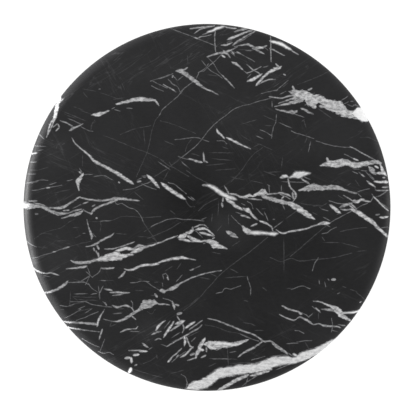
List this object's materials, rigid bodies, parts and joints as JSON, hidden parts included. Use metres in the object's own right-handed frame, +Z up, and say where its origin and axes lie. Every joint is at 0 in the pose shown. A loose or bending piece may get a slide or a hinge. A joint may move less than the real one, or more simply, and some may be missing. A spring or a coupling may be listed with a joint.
{
  "type": "round pedestal table",
  "caption": "Round pedestal table: a bullnosed black marble top on a cast spider bracket, a steel tube column and a weighted round foot with screw levellers.",
  "frame": {"origin": "on the floor, at the middle of the foot, with the levellers fully in", "axes": "+Z up; +X towards the right and +Y towards the top of the plan picture"},
  "size_m": [0.5999, 0.6, 0.74],
  "materials": {
    "black_marble": "satin",
    "birch_plywood": "matte",
    "insert_brass": "satin",
    "coated_casting": "matte",
    "black_steel": "satin",
    "zinc_steel": "satin",
    "black_nylon": "matte"
  },
  "bodies": {
    "table": {"marble_top": "black_marble", "plywood_backer": "birch_plywood", "threaded_inserts": "insert_brass", "spider_bracket": "coated_casting", "spider_screws": "zinc_steel", "spider_washers": "zinc_steel", "column_tube": "black_steel", "tie_rod": "zinc_steel", "rod_top_nut": "zinc_steel", "rod_top_washer": "zinc_steel", "rod_bottom_nut": "zinc_steel", "rod_spring_washer": "zinc_steel", "rod_bottom_washer": "zinc_steel", "base_weight": "coated_casting", "base_cover": "black_steel", "cover_collar": "black_steel", "collar_grub_screws": "zinc_steel"},
    "leveller_pad_1": {"leveller_pad_1": "black_nylon"},
    "leveller_stem_1": {"leveller_stem_1": "zinc_steel"},
    "leveller_pad_2": {"leveller_pad_2": "black_nylon"},
    "leveller_stem_2": {"leveller_stem_2": "zinc_steel"},
    "leveller_pad_3": {"leveller_pad_3": "black_nylon"},
    "leveller_stem_3": {"leveller_stem_3": "zinc_steel"},
    "leveller_pad_4": {"leveller_pad_4": "black_nylon"},
    "leveller_stem_4": {"leveller_stem_4": "zinc_steel"}
  },
  "joints": [
    {"name": "leveller_1_travel", "type": "slide", "parent": "table", "child": "leveller_pad_1", "axis": [0, 0, -1], "range_m": [0, 0.01]},
    {"name": "leveller_1_turn", "type": "hinge", "parent": "leveller_pad_1", "child": "leveller_stem_1", "pos_m": [0.11667, 0.11667, 0.012], "axis": [0, 0, -1], "range_deg": [0, 2400]},
    {"name": "leveller_2_travel", "type": "slide", "parent": "table", "child": "leveller_pad_2", "axis": [0, 0, -1], "range_m": [0, 0.01]},
    {"name": "leveller_2_turn", "type": "hinge", "parent": "leveller_pad_2", "child": "leveller_stem_2", "pos_m": [-0.11667, 0.11667, 0.012], "axis": [0, 0, -1], "range_deg": [0, 2400]},
    {"name": "leveller_3_travel", "type": "slide", "parent": "table", "child": "leveller_pad_3", "axis": [0, 0, -1], "range_m": [0, 0.01]},
    {"name": "leveller_3_turn", "type": "hinge", "parent": "leveller_pad_3", "child": "leveller_stem_3", "pos_m": [-0.11667, -0.11667, 0.012], "axis": [0, 0, -1], "range_deg": [0, 2400]},
    {"name": "leveller_4_travel", "type": "slide", "parent": "table", "child": "leveller_pad_4", "axis": [0, 0, -1], "range_m": [0, 0.01]},
    {"name": "leveller_4_turn", "type": "hinge", "parent": "leveller_pad_4", "child": "leveller_stem_4", "pos_m": [0.11667, -0.11667, 0.012], "axis": [0, 0, -1], "range_deg": [0, 2400]}
  ],
  "couplings": [
    {"joint": "leveller_1_turn", "follows": "leveller_1_travel", "rad_per_m": 4188.8},
    {"joint": "leveller_2_turn", "follows": "leveller_2_travel", "rad_per_m": 4188.8},
    {"joint": "leveller_3_turn", "follows": "leveller_3_travel", "rad_per_m": 4188.8},
    {"joint": "leveller_4_turn", "follows": "leveller_4_travel", "rad_per_m": 4188.8}
  ]
}
